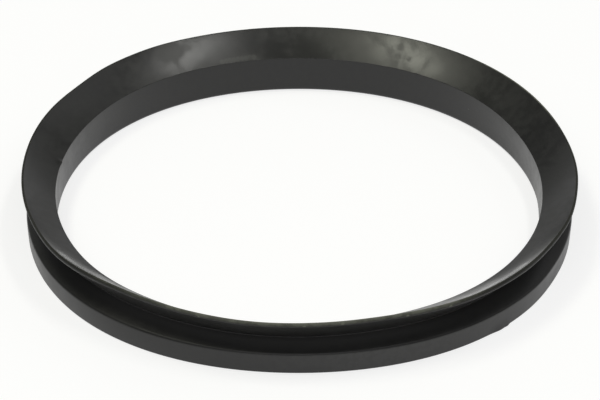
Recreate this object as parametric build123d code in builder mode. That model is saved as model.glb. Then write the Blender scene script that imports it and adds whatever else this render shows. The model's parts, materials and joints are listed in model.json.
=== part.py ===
from build123d import *
import os

# V-ring shaft seal: one moulded rubber ring with a clamping body and a flexible lip.
#
# The ring lies on the flat back face of its body, with its axis along Z and the origin
# at the centre of that face. The bore grips a shaft. Above the body a V-shaped groove
# runs all the way round the outside, and leaves a thin hinge next to the bore. From
# that hinge a conical lip flares up and outwards, to wipe a flat counterface. Its inner
# face is slightly hollow, so it is steepest where it touches.

# Driving sizes in millimetres. Heights are stacked upwards from the back face, and
# radial depths are measured outwards from the bore.
bore_radius = 45.0        # free radius, before the ring is stretched over its shaft
bore_edge_round = 0.7     # lead-in round where the bore meets the back face

body_depth = 5.3          # radial depth of the body at the top edge of its outer wall
body_wall_height = 4.1    # height of the outer wall
body_wall_draft = 0.15    # how far the wall leans in towards the back face
back_edge_chamfer = 0.2   # small bevel where the outer wall meets the back face

hinge_depth = 1.7         # radial rubber left between the bore and the groove root
groove_rise = 1.05        # climb of the groove's lower flank, from the wall to the root
groove_root_round = 0.45  # round at the bottom of the V

hinge_height = 2.1        # bore wall left above the root, before the lip starts to flare
lip_depth = 6.0           # radial reach of the lip
lip_rise = 3.75           # climb of the lip's inner face, up to its sharp wiping edge
lip_hollow = 0.2          # how far that face bows in behind a straight cone
lip_land_height = 1.2     # narrow band that closes the end of the lip, below that edge

# Radii and heights worked out from the driving sizes.
body_top_radius = bore_radius + body_depth
body_back_radius = body_top_radius - body_wall_draft
root_radius = bore_radius + hinge_depth
lip_radius = bore_radius + lip_depth

root_height = body_wall_height + groove_rise
bore_height = root_height + hinge_height
crest_height = bore_height + lip_rise
land_foot_height = crest_height - lip_land_height

# Corners of the half section as (radius, height).
bore_back = (bore_radius, 0)
body_back = (body_back_radius, 0)
body_top = (body_top_radius, body_wall_height)
groove_root = (root_radius, root_height)
land_foot = (lip_radius, land_foot_height)
lip_crest = (lip_radius, crest_height)
bore_top = (bore_radius, bore_height)


def corner_near(sketch, corner):
    """Return the sketch vertex that stands on one (radius, height) corner."""
    return sketch.vertices().sort_by_distance(corner)[0]


with BuildPart() as seal_ring:
    with BuildSketch(Plane.XZ) as section:
        with BuildLine():
            # Down the bore, out along the back face, up the body, in to the groove
            # root, out under the lip and up its end band.
            Polyline(
                bore_top,
                bore_back,
                body_back,
                body_top,
                groove_root,
                land_foot,
                lip_crest,
            )
            # The hollow inner face of the lip runs back down to the bore.
            SagittaArc(lip_crest, bore_top, lip_hollow)
        make_face()
        fillet(corner_near(section, bore_back), radius=bore_edge_round)
        chamfer(corner_near(section, body_back), length=back_edge_chamfer)
        fillet(corner_near(section, groove_root), radius=groove_root_round)
    revolve(axis=Axis.Z)

seal_ring.part.label = "seal_ring"

os.makedirs("parts", exist_ok=True)
export_step(seal_ring.part, "parts/seal_ring.step")

print(f"bore diameter {2 * bore_radius:.1f} mm, lip diameter {2 * lip_radius:.1f} mm")
print(f"free height {seal_ring.part.bounding_box().size.Z:.2f} mm")
print(f"the lip starts {bore_height:.2f} mm above the back face")
print(f"section area {section.sketch.area:.2f} mm2")
print(f"volume {seal_ring.part.volume / 1000:.2f} cm3")
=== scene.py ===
# %% [markdown]
# # A V-ring shaft seal in black rubber
#
# A V-ring is one ring of moulded rubber. Its thick body is stretched over a shaft and
# turns with it, and its thin lip wipes a flat face of the housing. Nothing is screwed
# or glued, so the whole character of the part is in one section and one material.
# This lesson first loads the construction model, which fixes every size, and then
# makes the ring as it really lies on a table: a little limp, with moulding marks.

import json
import math
from collections import namedtuple

import bpy
from mathutils import Matrix, Vector


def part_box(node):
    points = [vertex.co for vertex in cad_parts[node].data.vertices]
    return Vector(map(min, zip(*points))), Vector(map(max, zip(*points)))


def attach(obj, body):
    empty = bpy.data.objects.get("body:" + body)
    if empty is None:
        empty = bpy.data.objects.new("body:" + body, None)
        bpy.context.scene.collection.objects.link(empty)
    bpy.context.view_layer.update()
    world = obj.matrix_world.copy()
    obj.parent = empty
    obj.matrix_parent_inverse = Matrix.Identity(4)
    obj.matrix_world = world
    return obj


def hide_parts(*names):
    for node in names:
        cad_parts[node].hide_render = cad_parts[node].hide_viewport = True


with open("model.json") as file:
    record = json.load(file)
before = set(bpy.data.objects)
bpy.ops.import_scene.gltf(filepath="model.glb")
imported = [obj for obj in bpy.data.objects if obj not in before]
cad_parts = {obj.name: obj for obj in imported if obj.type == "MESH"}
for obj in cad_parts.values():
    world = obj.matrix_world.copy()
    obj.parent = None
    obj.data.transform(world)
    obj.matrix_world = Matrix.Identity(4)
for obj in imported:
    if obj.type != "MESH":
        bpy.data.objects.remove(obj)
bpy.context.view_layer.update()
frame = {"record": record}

MM = 0.001
_, ring_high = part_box("seal_ring")
lip_radius = ring_high.x
free_height = ring_high.z
bore_mount = next(m for m in frame["record"]["mounts"] if m["name"] == "bore")
bore_radius = bore_mount["dims"]["r_mm"] * MM
print(f"lip {2 * lip_radius / MM:.1f} mm across, bore {2 * bore_radius / MM:.1f} mm")

# %% [markdown]
# ## The section
#
# The ring is a body of revolution, so one closed outline says nearly everything. It
# could be drawn as a curve and given the Screw modifier, but then every point has the
# same height all the way round. Here the outline is a list of corners, each with its
# own small round, and a later step carries it round the axis by formula. That leaves
# room for the small bends of a limp ring, which a modifier can't give.
#
# The outer wall of the body is nearly straight up. Above it the groove runs in to a
# narrow root, and from the root the lip flares out and up to a narrow land. The lip's
# inner face is a cone that leads from the land back down to the bore.

# %% Sizes of the section
body_back_radius = 50.25 * MM
body_top_radius = 50.4 * MM
wall_height = 4.1 * MM
root_radius = 46.5 * MM
root_height = 5.50 * MM
bore_height = 7.25 * MM
land_foot_height = 10.35 * MM
crest_round = 0.26 * MM
# The round cuts the crest's corner off, so the corner stands above the free height.
crest_corner_height = free_height + 0.8 * crest_round
lip_hollow = 0.15 * MM

# Each corner is (radius, height, size of its round, name of the face that follows it).
section_corners = [
    (bore_radius, bore_height, 0.12 * MM, "bore"),
    (bore_radius, 0.0, 0.7 * MM, "back"),
    (body_back_radius, 0.0, 0.25 * MM, "wall"),
    (body_top_radius, wall_height, 0.5 * MM, "lower flank"),
    (root_radius, root_height, 0.15 * MM, "upper flank"),
    (lip_radius, land_foot_height, 0.9 * MM, "land"),
    (lip_radius, crest_corner_height, crest_round, "cone"),
]
print(f"the groove is {(body_top_radius - root_radius) / MM:.1f} mm deep")

# %% [markdown]
# ### Rounded corners
#
# No mould has a knife-sharp corner, and the small rounds catch the light as thin
# lines. A Bevel modifier could make them on the finished mesh, but its width is hard to
# steer where two corners lie close together, as they do at the end of the lip. Here
# each round is an arc: it touches both faces, so its centre lies on the line that
# halves the corner.

# %% Round one corner
corner_steps = 5


def rounded_corner(before, corner, after, size):
    """Return the points of a corner's round, from the face before it to the face after it."""
    towards_before = (before - corner).normalized()
    towards_after = (after - corner).normalized()
    half_angle = towards_before.angle(towards_after) / 2
    middle = corner + (towards_before + towards_after).normalized() * size / math.sin(half_angle)
    first_spoke = corner + towards_before * size / math.tan(half_angle) - middle
    last_spoke = corner + towards_after * size / math.tan(half_angle) - middle
    sweep = first_spoke.angle_signed(last_spoke)
    turns = [-sweep * step / corner_steps for step in range(corner_steps + 1)]
    return [middle + Matrix.Rotation(turn, 2) @ first_spoke for turn in turns]


print(f"each corner gets {corner_steps + 1} points")

# %% [markdown]
# ### The faces between the corners
#
# A face needs points of its own, because the bends of a later step move them one by
# one. They stand closer together near the corners, where the shape turns faster. The
# lip's inner face is also a little hollow: its points step back from the straight
# line, and most in the middle.

# %% Points along one face
face_step = 0.35 * MM
least_steps = 3


def hollow_share(share):
    """Return the depth of a hollow at a share of its length: 0 at both ends, 1 half-way."""
    return 4 * share * (1 - share)


def face_points(start, end, hollow):
    """Return points between two ends of a face, close together near the ends."""
    run = end - start
    count = max(least_steps, round(run.length / face_step))
    inward = Vector((-run.y, run.x)).normalized()
    points = []
    for step in range(1, count):
        share = (1 - math.cos(math.pi * step / count)) / 2
        points.append(start + run * share + inward * hollow * hollow_share(share))
    return points


print(f"a face gets a point about every {face_step / MM:.2f} mm")

# %% Walk round the section
def section_outline():
    """Return the closed outline as (point, face name), from the bore's upper edge on."""
    places = [Vector((radius, height)) for radius, height, _, _ in section_corners]
    total = len(places)
    rounds = []
    for index in range(total):
        size = section_corners[index][2]
        following = places[(index + 1) % total]
        rounds.append(rounded_corner(places[index - 1], places[index], following, size))
    outline = []
    for index in range(total):
        face = section_corners[index][3]
        face_before = section_corners[index - 1][3]
        for step, point in enumerate(rounds[index]):
            side = face_before if step < corner_steps // 2 else face
            on_crest = face == "cone" and 0 < step < corner_steps
            outline.append((point, "crest" if on_crest else side))
        hollow = lip_hollow if face == "cone" else 0.0
        following_round = rounds[(index + 1) % total]
        for point in face_points(rounds[index][-1], following_round[0], hollow):
            outline.append((point, face))
    return outline


outline = section_outline()
print(f"the section has {len(outline)} points")

# %% [markdown]
# ## The ring as it lies
#
# A real V-ring isn't stiff enough to stay truly round. It lies slightly out of round,
# and the thin lip keeps a memory of how it was packed. Both are shapes that change
# slowly round the ring, so short sums of waves and a few soft bumps describe them, and
# the ring stays smooth. All of it stays inside the construction model's size.
#
# A push has a place on the section, where it is strongest, and a reach, over which it
# fades. It also has an angle round the ring and a spread. Two narrow pushes at the foot
# of the wall make a small lobe of flash, where the mould's halves let rubber out, and
# one at the bore's edge makes a burr.

# %% Waves round the ring and places on the section
# Each wave is (waves round the ring, sine part, cosine part).
out_of_round = [
    (2, -0.112 * MM, 0.0),
    (3, -0.224 * MM, -0.010 * MM),
    (4, -0.036 * MM, -0.398 * MM),
]

# Places on the section: (radius, height).
lip_end = Vector((lip_radius, 10.6 * MM))
land_foot = Vector((50.9 * MM, 9.8 * MM))
wall_top = Vector((50.3 * MM, wall_height))
body_middle = Vector((49.5 * MM, 2.5 * MM))
wall_foot = Vector((50.2 * MM, 0.1 * MM))
bore_edge = Vector((bore_radius, bore_height))
bore_middle = Vector((bore_radius, 3.5 * MM))
bore_foot = Vector((bore_radius, 0.5 * MM))
print(f"{len(out_of_round)} waves bend the whole ring")

# %% Pushes on the lip
# Each place is followed by its reach and by pushes of (angle, spread in degrees,
# outwards, upwards), the last two in millimetres. Angles start at the right, and the
# side nearest to the camera is at 270.
lip_pushes = [
    # The lip leans in and out along its end, and most at the near left.
    (lip_end, 5.0 * MM, [
        (90, 60, 0.12, 0.0),
        (123, 8, 0.25, 0.0),
        (135, 6, 0.13, 0.0),
        (146, 7, -0.30, 0.0),
        (163, 8, 0.06, 0.0),
        (190, 18, 0.10, 0.0),
        (212, 8, 0.14, 0.0),
        (231, 12, -0.88, 0.0),
        (243, 9, -0.32, 0.0),
        (251, 7, -0.12, 0.0),
        (264, 9, 0.15, 0.0),
        (286, 8, -0.20, 0.0),
        (306, 9, 0.32, 0.0),
        (322, 7, 0.10, 0.0),
        (341, 9, 0.36, 0.0),
    ]),
    (lip_end, 9.0 * MM, [(358, 11, 0.35, 0.0)]),
    # The foot of the land stands out a little at the near left and the near right.
    (land_foot, 0.9 * MM, [
        (222, 26, 0.15, 0.0),
        (320, 26, 0.15, 0.0),
    ]),
]
print(f"{sum(len(pushes) for _, _, pushes in lip_pushes)} pushes on the lip")

# %% Pushes on the body and the bore
body_pushes = [
    # The body's wall bulges and gives way a little, and its upper edge dips.
    (body_middle, 3.5 * MM, [
        (196, 12, 0.06, 0.0),
        (225, 40, 0.15, 0.0),
        (334, 7, -0.20, 0.0),
        (350, 6, 0.10, 0.0),
    ]),
    (wall_top, 1.5 * MM, [
        (206, 12, 0.0, -0.06),
        (332, 11, 0.0, -0.30),
    ]),
    # The bore's upper edge sags at the near side, and the bore bulges inwards at the right.
    (bore_edge, 2.5 * MM, [
        (22, 20, -0.20, 0.0),
        (156, 14, -0.14, 0.0),
        (220, 14, -0.05, -0.22),
        (267, 25, 0.35, -0.60),
        (318, 20, -0.05, -0.08),
    ]),
    (bore_middle, 4.0 * MM, [(355, 10, -0.38, 0.0)]),
    (bore_foot, 3.0 * MM, [
        (26, 18, 0.13, 0.0),
        (357, 7, -0.20, 0.0),
    ]),
    # The lobe of flash at the foot of the wall and its pointed tip.
    (wall_foot, 0.9 * MM, [(314.0, 1.8, 0.26, 0.0)]),
    (wall_foot, 0.6 * MM, [(315.9, 0.6, 0.17, 0.0)]),
    # The burr on the bore's upper edge.
    (bore_edge, 0.6 * MM, [(171, 0.7, -0.18, 0.15)]),
]
print(f"{sum(len(pushes) for _, _, pushes in body_pushes)} pushes on the body and the bore")

# %% [markdown]
# ### Two deeper hollows
#
# Where the lip bends, its wall between the bore's edge and the crest bows as well, the
# way a bent strip does. Two such bows at the near side are deeper than the hollow that
# the section has everywhere. They move the lip's inner face and its flank together, so
# the lip keeps its thickness, and they stop at the body, which is too thick to bow.

# %% Bows of the lip
# Each bow is (angle, spread in degrees, depth).
lip_bows = [
    (217, 9, 0.26 * MM),
    (319, 8, 0.22 * MM),
]
lip_run = Vector((lip_radius, free_height)) - bore_edge
lip_direction = lip_run.normalized()


def soft_bump(angle, centre, spread):
    """Return a soft bump from 0 to 1 round an angle in degrees."""
    away = (angle - centre + 180) % 360 - 180
    return math.exp(-((away / spread) ** 2))


def lip_bow(point, angle):
    """Return how far the lip bows at a point of the section."""
    along = (point - bore_edge).dot(lip_run) / lip_run.length_squared
    if not 0 < along < 1:
        return 0.0
    depth = sum(depth * soft_bump(angle, centre, spread) for centre, spread, depth in lip_bows)
    above_body = (point.y - wall_height) / (root_height - wall_height)
    return depth * hollow_share(along) * min(1, max(0, above_body))


print(f"the lip is {lip_run.length / MM:.1f} mm wide, from the bore's edge to the crest")

# %% Carry a point round the ring
def ring_point(point, angle):
    """Carry one point of the section to its place at an angle in degrees."""
    turn = math.radians(angle)
    radius, height = point
    for waves, sine, cosine in out_of_round:
        radius += sine * math.sin(waves * turn) + cosine * math.cos(waves * turn)
    bow = lip_bow(point, angle)
    radius += bow * lip_direction.y
    height -= bow * lip_direction.x
    for place, reach, pushes in lip_pushes + body_pushes:
        nearness = math.exp(-(((point - place).length / reach) ** 2))
        for centre, spread, outwards, upwards in pushes:
            share = nearness * soft_bump(angle, centre, spread)
            radius += outwards * MM * share
            height += upwards * MM * share
    return Vector((radius * math.cos(turn), radius * math.sin(turn), height))


near_crest = ring_point(Vector((lip_radius, free_height)), 270)
print(f"the crest's near side is {near_crest.xy.length / MM:.2f} mm from the axis")

# %% [markdown]
# ## The mesh
#
# The section is copied at every half degree, and each copy is joined to the next by
# four-sided polygons. The last copy is joined to the first, so the mesh is closed
# without a seam. Every polygon keeps the name of its face on the section as a material
# slot, because a bore, a wall and a lip have different finishes in one rubber.

# %% Build the ring
steps_round = 720
faces_in_order = ["bore", "back", "wall", "lower flank", "upper flank", "land", "crest", "cone"]


def make_ring():
    """Sweep the section round the axis as one closed mesh."""
    vertices = []
    for step in range(steps_round):
        angle = 360 * step / steps_round
        vertices += [ring_point(point, angle) for point, _ in outline]
    polygons = []
    slots = []
    count = len(outline)
    for step in range(steps_round):
        here = step * count
        there = (step + 1) % steps_round * count
        for index in range(count):
            after = (index + 1) % count
            polygons.append((here + index, here + after, there + after, there + index))
            slots.append(faces_in_order.index(outline[index][1]))
    mesh = bpy.data.meshes.new("seal_ring_moulding")
    mesh.from_pydata(vertices, [], polygons)
    mesh.polygons.foreach_set("material_index", slots)
    mesh.polygons.foreach_set("use_smooth", [True] * len(polygons))
    mesh.validate()
    ring = bpy.data.objects.new("seal_ring_moulding", mesh)
    bpy.context.collection.objects.link(ring)
    return ring


ring = make_ring()
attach(ring, "root")
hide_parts("seal_ring")
print(f"the ring has {len(ring.data.polygons)} polygons")

# %% [markdown]
# ## What the rubber's surface is like
#
# Moulded nitrile rubber is almost black, but not quite: carbon black leaves it a
# little green, and its satin shine shows every cloud of bloom, every line that the
# mould was turned with, and some dust. One flat black would look cut out of paper.
#
# Each of these effects shows on several faces of the ring, so each is a node group
# with named inputs. The groups are built once, and every rubber material places them
# with its own values. All of them read Object coordinates, so they stay on the ring.

# %% Helpers that start a group and feed a socket
def start_group(name, numbers, outputs):
    """Return a new node group and its input and output nodes.

    numbers gives each input socket and its value, and outputs names the output sockets.
    """
    group = bpy.data.node_groups.new(name, "ShaderNodeTree")
    for socket, value in numbers.items():
        made = group.interface.new_socket(socket, in_out="INPUT", socket_type="NodeSocketFloat")
        made.default_value = value
    for socket in outputs:
        group.interface.new_socket(socket, in_out="OUTPUT", socket_type="NodeSocketFloat")
    inside = group.nodes.new("NodeGroupInput")
    outside = group.nodes.new("NodeGroupOutput")
    return group, inside, outside


def feed(tree, socket, value):
    """Link a socket to the output it is given, or set it to a plain number or colour."""
    if isinstance(value, bpy.types.NodeSocket):
        tree.links.new(value, socket)
    else:
        socket.default_value = value


print("helpers start_group and feed")

# %% Helpers that add one node
def object_place(tree):
    """Return the Object coordinates of the shaded point."""
    return tree.nodes.new("ShaderNodeTexCoord").outputs["Object"]


def add_math(tree, operation, first, second, clamp=False):
    """Add a Math node and return its output."""
    node = tree.nodes.new("ShaderNodeMath")
    node.operation = operation
    node.use_clamp = clamp
    feed(tree, node.inputs[0], first)
    feed(tree, node.inputs[1], second)
    return node.outputs[0]


def add_range(tree, value, low, high, to_low=0.0, to_high=1.0):
    """Map a value from one range to another smoothly, and return the output."""
    node = tree.nodes.new("ShaderNodeMapRange")
    node.interpolation_type = "SMOOTHSTEP"
    feed(tree, node.inputs["Value"], value)
    feed(tree, node.inputs["From Min"], low)
    feed(tree, node.inputs["From Max"], high)
    feed(tree, node.inputs["To Min"], to_low)
    feed(tree, node.inputs["To Max"], to_high)
    return node.outputs["Result"]


def add_noise(tree, vector, scale, detail=2.0, roughness=0.5):
    """Add a Noise Texture and return its value."""
    node = tree.nodes.new("ShaderNodeTexNoise")
    feed(tree, node.inputs["Vector"], vector)
    feed(tree, node.inputs["Scale"], scale)
    feed(tree, node.inputs["Detail"], detail)
    feed(tree, node.inputs["Roughness"], roughness)
    return node.outputs["Fac"]


print("helpers object_place, add_math, add_range and add_noise")

# %% [markdown]
# ### Bloom
#
# Wax and sulphur creep out of rubber in storage and lie on it as faint clouds. They
# scatter the shine and make the black a little greyer. Noise gives clouds with soft
# middles and broken edges, and a threshold on it decides how much of the surface they
# cover. The rubber places the group twice, for large clouds and for small wisps.

# %% Node group: bloom clouds
def build_bloom():
    """Clouds of bloom: Mask is 1 in their middle."""
    group, inside, outside = start_group(
        "bloom_clouds", {"Scale": 60.0, "Cover": 0.5, "Softness": 0.15}, ["Mask"]
    )
    noise = add_noise(group, object_place(group), inside.outputs["Scale"])
    low = add_math(group, "SUBTRACT", 1.0, inside.outputs["Cover"])
    high = add_math(group, "ADD", low, inside.outputs["Softness"])
    feed(group, outside.inputs["Mask"], add_range(group, noise, low, high))
    return group


bloom_clouds = build_bloom()
print(f"group {bloom_clouds.name}")

# %% [markdown]
# ### Places on the ring
#
# Some effects belong to one band of the ring, such as the depth of the groove. They
# need to know how far a point is from the axis and how high it lies. Object
# coordinates give X, Y and Z, and the length of X and Y together is the distance from
# the axis, since the ring is centred on its own origin.

# %% Node group: place on the ring
def add_axis_place(tree):
    """Return the X, Y and Z outputs of the shaded point and its distance from the axis."""
    split = tree.nodes.new("ShaderNodeSeparateXYZ")
    feed(tree, split.inputs["Vector"], object_place(tree))
    across = tree.nodes.new("ShaderNodeCombineXYZ")
    feed(tree, across.inputs["X"], split.outputs["X"])
    feed(tree, across.inputs["Y"], split.outputs["Y"])
    length = tree.nodes.new("ShaderNodeVectorMath")
    length.operation = "LENGTH"
    feed(tree, length.inputs[0], across.outputs["Vector"])
    return split.outputs, length.outputs["Value"]


def build_ring_place():
    """Radius and Height of a point, in millimetres."""
    group, _, outside = start_group("ring_place", {}, ["Radius", "Height"])
    place, from_axis = add_axis_place(group)
    feed(group, outside.inputs["Radius"], add_math(group, "DIVIDE", from_axis, MM))
    feed(group, outside.inputs["Height"], add_math(group, "DIVIDE", place["Z"], MM))
    return group


ring_place = build_ring_place()
print(f"group {ring_place.name}")

# %% [markdown]
# ### One spot
#
# A finger smudge or a crumb belongs to one spot. It could be painted on an image, but a
# spot with a centre and a size can be moved by changing a number. The mask falls from 1
# in the core to 0 at the spot's size. Noise is added to the distance before that, in
# proportion to the size, so the edge is ragged and no spot is a perfect ball.

# %% Node group: one spot
noise_waves_per_spot = 1.5


def build_spot():
    """One soft spot at X, Y, Z with a Size, all in millimetres: Mask is 1 in its core."""
    group, inside, outside = start_group(
        "one_spot",
        {"X": 0.0, "Y": 0.0, "Z": 0.0, "Size": 1.0, "Core": 0.3, "Ragged": 0.5},
        ["Mask"],
    )
    size = inside.outputs["Size"]
    place = object_place(group)
    scaled = group.nodes.new("ShaderNodeVectorMath")
    scaled.operation = "SCALE"
    feed(group, scaled.inputs["Scale"], 1 / MM)
    feed(group, scaled.inputs[0], place)
    centre = group.nodes.new("ShaderNodeCombineXYZ")
    for axis in "XYZ":
        feed(group, centre.inputs[axis], inside.outputs[axis])
    away = group.nodes.new("ShaderNodeVectorMath")
    away.operation = "DISTANCE"
    feed(group, away.inputs[0], scaled.outputs["Vector"])
    feed(group, away.inputs[1], centre.outputs["Vector"])
    noise = add_noise(group, place, add_math(group, "DIVIDE", noise_waves_per_spot / MM, size))
    wobble = add_math(group, "MULTIPLY", add_math(group, "SUBTRACT", noise, 0.5), size)
    wobble = add_math(group, "MULTIPLY", wobble, inside.outputs["Ragged"])
    distance = add_math(group, "ADD", away.outputs["Value"], wobble)
    core = add_math(group, "MULTIPLY", size, inside.outputs["Core"])
    feed(group, outside.inputs["Mask"], add_range(group, distance, core, size, 1.0, 0.0))
    return group


one_spot = build_spot()
print(f"group {one_spot.name}")

# %% [markdown]
# ### Turning marks
#
# The mould for a ring is turned on a lathe, and its fine circular lines print into the
# rubber. A line keeps its radius and height all the way round, so the pattern reads
# only those two: noise along them is a set of perfect circles. A little of the plain
# position is mixed in, so that a line fades and returns as it runs round the ring.

# %% Node group: turning marks
def build_turning_marks():
    """Fine circular lines: Height goes to a Bump node."""
    group, inside, outside = start_group(
        "turning_marks", {"Lines per metre": 3000.0, "Wander": 0.04}, ["Height"]
    )
    place, from_axis = add_axis_place(group)
    drift_x = add_math(group, "MULTIPLY", place["X"], inside.outputs["Wander"])
    drift_y = add_math(group, "MULTIPLY", place["Y"], inside.outputs["Wander"])
    stretched = group.nodes.new("ShaderNodeCombineXYZ")
    feed(group, stretched.inputs["X"], add_math(group, "ADD", from_axis, place["Z"]))
    feed(group, stretched.inputs["Y"], add_math(group, "SUBTRACT", from_axis, place["Z"]))
    feed(group, stretched.inputs["Z"], add_math(group, "ADD", drift_x, drift_y))
    lines = add_noise(group, stretched.outputs["Vector"], inside.outputs["Lines per metre"])
    feed(group, outside.inputs["Height"], lines)
    return group


turning_marks = build_turning_marks()
print(f"group {turning_marks.name}")

# %% [markdown]
# ### Dust
#
# Rubber holds a charge, so pale dust clings to it. A Voronoi texture scatters one point
# in each cell and gives each cell a random colour. Only cells whose colour is above a
# threshold get a speck, so there are few of them, and the distance to the point gives
# each its small round shape.

# %% Node group: dust specks
def build_dust():
    """Scattered specks: Mask is 1 on a speck."""
    group, inside, outside = start_group(
        "dust_specks", {"Cells per metre": 700.0, "Amount": 0.05, "Size": 0.25}, ["Mask"]
    )
    size = inside.outputs["Size"]
    cells = group.nodes.new("ShaderNodeTexVoronoi")
    feed(group, cells.inputs["Vector"], object_place(group))
    feed(group, cells.inputs["Scale"], inside.outputs["Cells per metre"])
    colour = group.nodes.new("ShaderNodeSeparateColor")
    feed(group, colour.inputs["Color"], cells.outputs["Color"])
    least = add_math(group, "SUBTRACT", 1.0, inside.outputs["Amount"])
    chosen = add_math(group, "GREATER_THAN", colour.outputs["Red"], least)
    core = add_math(group, "MULTIPLY", size, 0.5)
    speck = add_range(group, cells.outputs["Distance"], core, size, 1.0, 0.0)
    feed(group, outside.inputs["Mask"], add_math(group, "MULTIPLY", chosen, speck))
    return group


dust_specks = build_dust()
print(f"group {dust_specks.name}")

# %% [markdown]
# ## Marks that this ring has
#
# Noise says what rubber is like anywhere, but a used or handled ring also has marks at
# one place and no other. Most are lists of spots, (x, y, z, size) in millimetres, and a
# long mark is a row of them. The crumbs are trimmings that stick to the land and the
# crest. The smudges are extra bloom on the lip's inner face. In the wiped places the
# bloom is gone, so clean black rubber mirrors the room more sharply, and the polished
# places are smoother still.

# %% Crumbs and smudges
def row_of_spots(first, last, radius, height, size):
    """Return spots at each degree from first to last, at a radius and height in millimetres."""
    angles = [math.radians(degree) for degree in range(first, last + 1)]
    return [(radius * math.cos(a), radius * math.sin(a), height, size) for a in angles]


trimmed_faces = ("land", "crest")
lip_crumbs = [
    (-17.25, -47.40, 10.42, 0.32),
    (0.88, -50.43, 10.42, 0.40),
    (7.46, -49.90, 10.60, 0.46),
    (18.62, -47.26, 10.42, 0.38),
    (26.10, -44.31, 10.42, 0.46),
    (40.40, -31.90, 10.60, 0.36),
    (47.45, -19.65, 10.42, 0.36),
]
lip_smudges = [
    (19.97, 44.85, 9.75, 1.0),
    (19.25, 43.24, 8.57, 1.0),
    (18.76, 42.13, 7.84, 1.0),
    (21.51, 42.21, 8.57, 0.8),
    (-25.00, 42.50, 9.60, 4.0),
]
print(f"{len(lip_crumbs)} crumbs and {len(lip_smudges)} smudges")

# %% Wiped and polished places
wiped_spots = [
    # A slanting wipe at the far left.
    (-15.00, 47.00, 10.20, 2.6),
    (-17.61, 45.87, 9.75, 3.4),
    (-19.30, 44.20, 9.10, 3.6),
    (-20.82, 42.69, 8.57, 3.4),
    (-22.00, 41.40, 8.20, 3.2),
    (-24.50, 39.50, 8.00, 2.8),
    (-26.85, 38.34, 8.06, 2.4),
    # Small wiped places at the far right.
    (18.25, 46.33, 10.29, 2.4),
    (15.39, 44.68, 8.57, 2.8),
    (23.00, 41.80, 8.60, 3.0),
    (26.62, 38.73, 8.30, 3.0),
    # A clean stretch in the middle of the far side.
    (-9.50, 47.30, 9.30, 5.0),
    (-5.00, 46.60, 8.40, 5.0),
    (2.00, 46.70, 8.40, 5.0),
    # Clean stretches at the near left and the near right.
    (-38.00, -31.60, 10.00, 4.5),
    (-36.00, -33.70, 10.00, 6.0),
    (39.00, -30.20, 10.00, 6.0),
    (34.20, -35.50, 10.00, 6.0),
]
polished_spots = row_of_spots(213, 229, 49.6, 10.1, 1.8) + row_of_spots(306, 322, 49.6, 10.1, 1.8)
print(f"{len(wiped_spots)} wiped spots and {len(polished_spots)} polished spots")

# %% [markdown]
# ### Pale marks and painted light
#
# Where rubber was trimmed with a blade, its skin is broken and looks grey. The crest and
# the land have some of that. Their paleness at the near side, the crest's at the right,
# and the land's paler top are partly a painted highlight along the lip's edge. A very large
# spot fades so slowly that it paints light on the near right half of the wall, and a row
# of small spots on the lip's inner face paints a brighter reflection near the crest at
# the near right. Other rows make thin paler lines along the wall's upper edge, the
# groove's root and the bore's upper edge at the far side.

# %% Pale marks and painted light
# Each face has the grey level of its mark and the mark's spots.
pale_marks_and_painted_light = {
    # Crest and land: trimmed grey skin, and partly a painted highlight along the lip's edge.
    "crest": (0.130, [(0.0, -51.0, 10.5, 44.0), (43.0, 28.0, 10.8, 20.0)]),
    "land": (0.150, [(0.0, -51.0, 10.5, 42.0)]),
    # The wall: a very large spot of painted light on the near right half, and a paler row along
    # its upper edge.
    "wall": (0.040, [(24.0, -44.0, 2.0, 34.0)] + row_of_spots(278, 288, 50.2, 4.1, 0.7)),
    "upper flank": (0.055, row_of_spots(276, 297, 46.6, 5.55, 0.7)),
    # The lip's inner face: a paler line at the bore's edge on the far side, and a painted
    # reflection near the crest at the near right.
    "cone": (
        0.036,
        row_of_spots(101, 109, 45.6, 7.65, 0.8) + row_of_spots(309, 322, 49.9, 10.3, 1.1),
    ),
}
# The land grows paler towards its top between these two heights, in millimetres: painted light.
land_paler_heights = (10.2, 10.8)
# The wisps of bloom make the pale marks patchy, between these two strengths.
least_paleness = 0.65
most_paleness = 1.30
print(f"{len(pale_marks_and_painted_light)} faces have pale marks")

# %% [markdown]
# ## The rubber itself
#
# Every face of the ring is the same rubber, but not the same surface. The bore and the
# body are pressed against smooth steel, the lip face is the most polished, and the
# narrow land is where the flash was trimmed off, so it is rough and partly grey. The
# crest's raised grey and the land's paler top are partly painted highlight, and the
# upper flank's raised grey is painted light. One function builds all of them, and a
# short line of values says how each face differs.
#
# The groove has one more thing: it grows paler deep inside, towards its root, so its
# colour also depends on the distance from the axis.

# %% Values of each face
# black and bloomed are grey levels without bloom and with it. polish is the roughness,
# and cloudy is what bloom adds to it. lined and grain are the heights of the turning
# marks and of the skin's grain, in millimetres. dusty is the share of cells with dust.
# mirror is the specular level, which is low where the surface is torn or dusty.
RubberFace = namedtuple("RubberFace", "tint black bloomed polish cloudy lined dusty grain mirror")

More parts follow.
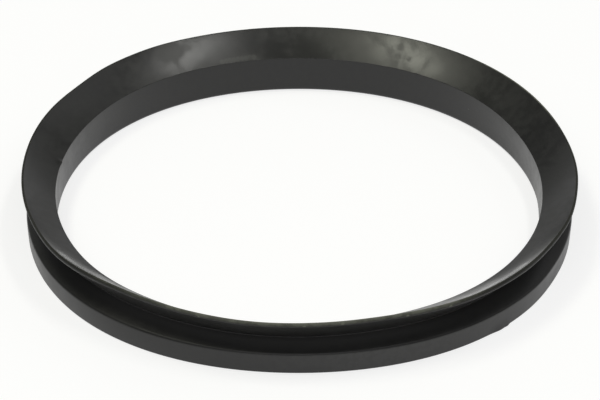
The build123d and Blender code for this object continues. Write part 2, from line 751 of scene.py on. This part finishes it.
plain_black = (1.0, 1.0, 0.98)
olive_black = (1.0, 1.03, 0.85)
green_black = (1.0, 1.02, 0.93)
rubber_faces = {
    "bore": RubberFace(plain_black, 0.009, 0.018, 0.34, 0.08, 0.010, 0.010, 0.004, 0.5),
    "back": RubberFace(plain_black, 0.009, 0.018, 0.40, 0.08, 0.004, 0.010, 0.006, 0.5),
    "wall": RubberFace(plain_black, 0.013, 0.024, 0.36, 0.08, 0.004, 0.010, 0.006, 0.5),
    "lower flank": RubberFace(plain_black, 0.018, 0.025, 0.36, 0.08, 0.004, 0.0, 0.006, 0.25),
    # The upper flank's greys are raised a little: painted light that lifts the groove where the
    # lamps leave it too dark.
    "upper flank": RubberFace(plain_black, 0.016, 0.024, 0.36, 0.08, 0.004, 0.001, 0.006, 0.5),
    "land": RubberFace(olive_black, 0.008, 0.016, 0.42, 0.10, 0.004, 0.015, 0.015, 0.18),
    # The crest's greys are raised: partly trimmed skin, partly a painted highlight along the lip's
    # edge.
    "crest": RubberFace(olive_black, 0.020, 0.034, 0.50, 0.10, 0.004, 0.040, 0.020, 0.15),
    "cone": RubberFace(green_black, 0.008, 0.018, 0.276, 0.120, 0.004, 0.006, 0.0015, 0.5),
}
# The paler groove is (inner radius, outer radius, grey level deep inside).
groove_paler_inside = {"lower flank": (47.0, 49.8, 0.040), "upper flank": (47.5, 50.5, 0.036)}
print(f"{len(rubber_faces)} faces of rubber")

# %% Helpers that build a material
def shade(tint, grey):
    """Return a colour of one tint at one grey level."""
    return (tint[0] * grey, tint[1] * grey, tint[2] * grey, 1.0)


def add_group(tree, group, **values):
    """Place a node group in a material with its own values."""
    node = tree.nodes.new("ShaderNodeGroup")
    node.node_tree = group
    for name, value in values.items():
        feed(tree, node.inputs[name], value)
    return node


def add_mix(tree, share, first, second):
    """Mix two colours by a share and return the result."""
    node = tree.nodes.new("ShaderNodeMix")
    node.data_type = "RGBA"
    # A Mix node has sockets for every data type. Its colours are inputs 6 and 7, output 2.
    feed(tree, node.inputs[0], share)
    feed(tree, node.inputs[6], first)
    feed(tree, node.inputs[7], second)
    return node.outputs[2]


def add_spots(tree, spots, core=0.3):
    """Return one mask for a list of spots of (x, y, z, size) in millimetres."""
    total = None
    for x, y, z, size in spots:
        mask = add_group(tree, one_spot, X=x, Y=y, Z=z, Size=size, Core=core).outputs["Mask"]
        total = mask if total is None else add_math(tree, "MAXIMUM", total, mask)
    return total


print("helpers shade, add_group, add_mix and add_spots")

# %% [markdown]
# ### From masks to a surface
#
# Each mask has one meaning, and the same mask changes colour and roughness together:
# bloom is greyer and duller, and a crumb is pale and matt. That is what makes the marks
# look like things that lie on the rubber and not like a printed pattern. The relief is
# far too fine for the mesh, so it goes to a Bump node as a height.

# %% Masks of one face
cloud_share = 0.6
wisp_share = 0.4


def add_film(tree, name, wisps):
    """Return how much bloom lies on a face."""
    clouds = add_group(tree, bloom_clouds, Scale=90.0, Cover=0.75, Softness=0.50)
    large = add_math(tree, "MULTIPLY", clouds.outputs["Mask"], cloud_share)
    film = add_math(tree, "ADD", large, add_math(tree, "MULTIPLY", wisps, wisp_share))
    if name == "cone":
        film = add_math(tree, "ADD", film, add_spots(tree, lip_smudges, core=0.0))
        kept = add_math(tree, "SUBTRACT", 1.0, add_spots(tree, wiped_spots, core=0.0))
        film = add_math(tree, "MULTIPLY", film, kept)
    return film


def add_crumbs(tree, name, face):
    """Return the mask of the dust and the crumbs on a face."""
    crumbs = add_group(tree, dust_specks, Amount=face.dusty).outputs["Mask"]
    if name in trimmed_faces:
        crumbs = add_math(tree, "MAXIMUM", crumbs, add_spots(tree, lip_crumbs))
    return crumbs


def add_paleness(tree, name, wisps):
    """Return the mask of a face's pale marks, partly trimmed skin and partly painted light."""
    _, spots = pale_marks_and_painted_light[name]
    patchy = add_range(tree, wisps, 0.0, 1.0, least_paleness, most_paleness)
    paleness = add_math(tree, "MULTIPLY", add_spots(tree, spots), patchy)
    if name == "land":
        # Painted light: the land is paler towards its top.
        height = add_group(tree, ring_place).outputs["Height"]
        paleness = add_math(tree, "MULTIPLY", paleness, add_range(tree, height, *land_paler_heights))
    return paleness


print(f"large clouds make {cloud_share:.0%} of the film, wisps the rest")

# %% Colour of one face
dust_pale = (0.24, 0.25, 0.20, 1.0)


def add_colour(tree, name, face, film, wisps, crumbs):
    """Return the colour of a face under its film, the groove's paler inside, pale marks and
    painted light, and crumbs.
    """
    colour = add_mix(tree, film, shade(face.tint, face.black), shade(face.tint, face.bloomed))
    # The groove grows paler deep inside, towards its root.
    if name in groove_paler_inside:
        near, far, deep = groove_paler_inside[name]
        radius = add_group(tree, ring_place).outputs["Radius"]
        inner = add_range(tree, radius, near, far, 1.0, 0.0)
        colour = add_mix(tree, inner, colour, shade(face.tint, deep))
    # Pale marks: trimmed skin on the crest and the land, and painted light on them, the wall and
    # the lip's inner face.
    if name in pale_marks_and_painted_light:
        grey, _ = pale_marks_and_painted_light[name]
        colour = add_mix(tree, add_paleness(tree, name, wisps), colour, shade(face.tint, grey))
    return add_mix(tree, crumbs, colour, dust_pale)


print(f"dust is {dust_pale[1] / rubber_faces['wall'].black:.0f} times as pale as the wall")

# %% Shine of one face
polish_depth = 0.10
crumb_roughness = 0.4


def add_shine(tree, name, face, film, crumbs):
    """Return the roughness of a face."""
    shine = add_range(tree, film, 0.0, 1.0, face.polish, face.polish + face.cloudy)
    if name == "cone":
        polished = add_math(tree, "MULTIPLY", add_spots(tree, polished_spots), polish_depth)
        shine = add_math(tree, "SUBTRACT", shine, polished)
    dulled = add_math(tree, "MULTIPLY", crumbs, crumb_roughness)
    return add_math(tree, "ADD", shine, dulled, clamp=True)


print(f"polished places are {polish_depth:.2f} smoother, and crumbs {crumb_roughness:.2f} rougher")

# %% Relief of one face
skin_scale = 1800.0


def add_relief(tree, face):
    """Return the normal of a face with its turning marks and the grain of its skin."""
    lines = add_group(tree, turning_marks).outputs["Height"]
    skin = add_noise(tree, object_place(tree), skin_scale, detail=3.0, roughness=0.6)
    relief = add_math(tree, "MULTIPLY", lines, face.lined)
    relief = add_math(tree, "ADD", relief, add_math(tree, "MULTIPLY", skin, face.grain))
    bump = tree.nodes.new("ShaderNodeBump")
    feed(tree, bump.inputs["Strength"], 1.0)
    feed(tree, bump.inputs["Distance"], MM)
    feed(tree, bump.inputs["Height"], relief)
    return bump.outputs["Normal"]


print(f"the grain of the skin repeats {skin_scale:.0f} times in a metre")

# %% [markdown]
# ### The eight finishes
#
# Each face gets a material of its own with the same parts in it. A single material with
# a mask for each face would be harder to read and to change, and slots cost little.

# %% Make and assign the rubber materials
def make_rubber(name, face):
    """Return the rubber of one face."""
    material = bpy.data.materials.new(f"rubber_{name.replace(' ', '_')}")
    material.use_nodes = True
    tree = material.node_tree
    shader = tree.nodes["Principled BSDF"]
    wisps = add_group(tree, bloom_clouds, Scale=600.0, Cover=0.70, Softness=0.40).outputs["Mask"]
    film = add_film(tree, name, wisps)
    crumbs = add_crumbs(tree, name, face)
    feed(tree, shader.inputs["Base Color"], add_colour(tree, name, face, film, wisps, crumbs))
    feed(tree, shader.inputs["Roughness"], add_shine(tree, name, face, film, crumbs))
    feed(tree, shader.inputs["Specular IOR Level"], face.mirror)
    feed(tree, shader.inputs["Normal"], add_relief(tree, face))
    return material


for face_name in faces_in_order:
    ring.data.materials.append(make_rubber(face_name, rubber_faces[face_name]))
print(f"{len(ring.data.materials)} rubber finishes")

# %% [markdown]
# ## Floor
#
# The ring lies on a plain pale floor. A camera set for black rubber sees such a floor
# as white, and the rubber mirrors it, which is what lights the bore and the body. So
# the floor is pale paint that takes the ring's shadow, with a little light of its own
# that only the camera and reflections see, and that doesn't light the ring.

# %% Make the floor
floor_radius = 12.0
floor_gap = 0.02 * MM
floor_paint = (0.35, 0.35, 0.35, 1.0)
floor_glow = 0.72


def make_floor():
    """Lay a wide flat disc just under the ring."""
    bpy.ops.mesh.primitive_circle_add(vertices=96, radius=floor_radius, fill_type="NGON")
    floor = bpy.context.object
    floor.name = "studio_floor"
    floor.location.z = -floor_gap
    material = bpy.data.materials.new("floor_paint")
    material.use_nodes = True
    tree = material.node_tree
    shader = tree.nodes["Principled BSDF"]
    feed(tree, shader.inputs["Base Color"], floor_paint)
    feed(tree, shader.inputs["Roughness"], 1.0)
    feed(tree, shader.inputs["Specular IOR Level"], 0.0)
    path = tree.nodes.new("ShaderNodeLightPath")
    seen = add_math(tree, "ADD", path.outputs["Is Camera Ray"], path.outputs["Is Glossy Ray"])
    seen = add_math(tree, "ADD", seen, path.outputs["Is Transmission Ray"], clamp=True)
    glow = tree.nodes.new("ShaderNodeEmission")
    feed(tree, glow.inputs["Strength"], add_math(tree, "MULTIPLY", seen, floor_glow))
    both = tree.nodes.new("ShaderNodeAddShader")
    feed(tree, both.inputs[0], shader.outputs["BSDF"])
    feed(tree, both.inputs[1], glow.outputs["Emission"])
    feed(tree, tree.nodes["Material Output"].inputs["Surface"], both.outputs["Shader"])
    floor.data.materials.append(material)


make_floor()
print(f"the floor is {2 * floor_radius:.0f} m across")

# %% [markdown]
# ## Light
#
# Black rubber is lit by what it mirrors, so each lamp is a soft box with a size as well
# as a brightness. The left and right soft boxes make the two long soft patches on the
# far side of the lip, with a dark gap between them. The lip's inner face looks across
# the ring, so the box for the left patch hangs at the right, and the other at the left.
#
# The other four only fill in. A small panel nearly overhead carries the right patch on
# to the lip's edge. A broad box over the camera lifts the wall and the groove. A panel
# at the right shines across the ring on to its left side, and a low wide one at the
# back lifts the near side of the lip. A grey world stands for the rest of the room.

# %% Hang the lights
soft_boxes = {
    # name: (direction round the ring, height angle, distance, width, length, brightness, colour)
    "left_soft_box": (3.0, 70.3, 1.0, 0.44, 0.10, 10.2, (1.0, 1.0, 0.96)),
    "right_soft_box": (174.0, 69.2, 1.0, 0.46, 0.19, 7.2, (1.0, 1.01, 0.86)),
    "right_edge_panel": (218.0, 76.0, 1.0, 0.24, 0.14, 1.7, (1.0, 1.01, 0.86)),
    "front_soft_box": (268.0, 46.0, 1.2, 0.90, 0.40, 2.4, (1.0, 1.0, 1.0)),
    "side_panel": (25.0, 36.0, 1.2, 0.80, 0.70, 0.42, (1.0, 1.0, 1.0)),
    "back_panel": (90.0, 11.0, 1.2, 2.20, 0.44, 0.40, (1.0, 1.0, 1.0)),
}
# A lamp's power spreads over its area, so it is worked out from the brightness. This
# much power for each square metre of lamp gives a brightness of 1.
watts_per_square_metre = 4.0
room_brightness = 0.15


def hang_soft_box(name, around, up, distance, width, length, brightness, colour):
    """Hang a rectangular lamp that points at the ring."""
    lamp = bpy.data.lights.new(name, "AREA")
    lamp.shape = "RECTANGLE"
    lamp.size = width
    lamp.size_y = length
    lamp.energy = brightness * watts_per_square_metre * width * length
    lamp.color = colour
    box = bpy.data.objects.new(name, lamp)
    around = math.radians(around)
    up = math.radians(up)
    flat = distance * math.cos(up)
    box.location = (flat * math.cos(around), flat * math.sin(around), distance * math.sin(up))
    box.rotation_euler = (-box.location).to_track_quat("-Z", "Y").to_euler()
    bpy.context.collection.objects.link(box)


for box_name, box_values in soft_boxes.items():
    hang_soft_box(box_name, *box_values)

room = bpy.data.worlds.new("studio_room")
room.use_nodes = True
room_light = room.node_tree.nodes["Background"]
room_light.inputs["Color"].default_value = (1.0, 1.0, 1.0, 1.0)
room_light.inputs["Strength"].default_value = room_brightness
bpy.context.scene.world = room
bpy.context.scene.view_settings.view_transform = "Standard"
print(f"{len(soft_boxes)} soft boxes")

# %% [markdown]
# ## The camera
#
# The camera looks down on the ring from the front with a long lens, so the near and
# far sides keep nearly the same scale. It is placed by its distance and by its height
# above the table as an angle, which says the view more plainly than three numbers.

# %% Place the camera
camera_distance = 12.0 * lip_radius
camera_climb = math.radians(33.29)
camera_roll = math.radians(-0.10)
aim_point = Vector((0.20 * MM, 0.0, 3.44 * MM))
lens_length = 198.4

camera_data = bpy.data.cameras.new("studio_camera")
camera_data.lens = lens_length
camera_data.sensor_width = 36.0
camera = bpy.data.objects.new("studio_camera", camera_data)
bpy.context.collection.objects.link(camera)
camera.location = (
    0.0,
    -camera_distance * math.cos(camera_climb),
    camera_distance * math.sin(camera_climb),
)
view_turn = (aim_point - camera.location).to_track_quat("-Z", "Y")
camera.rotation_euler = view_turn.to_euler()
camera.rotation_euler.rotate_axis("Z", camera_roll)
bpy.context.scene.camera = camera
print(f"the camera stands {camera_distance:.3f} m away")
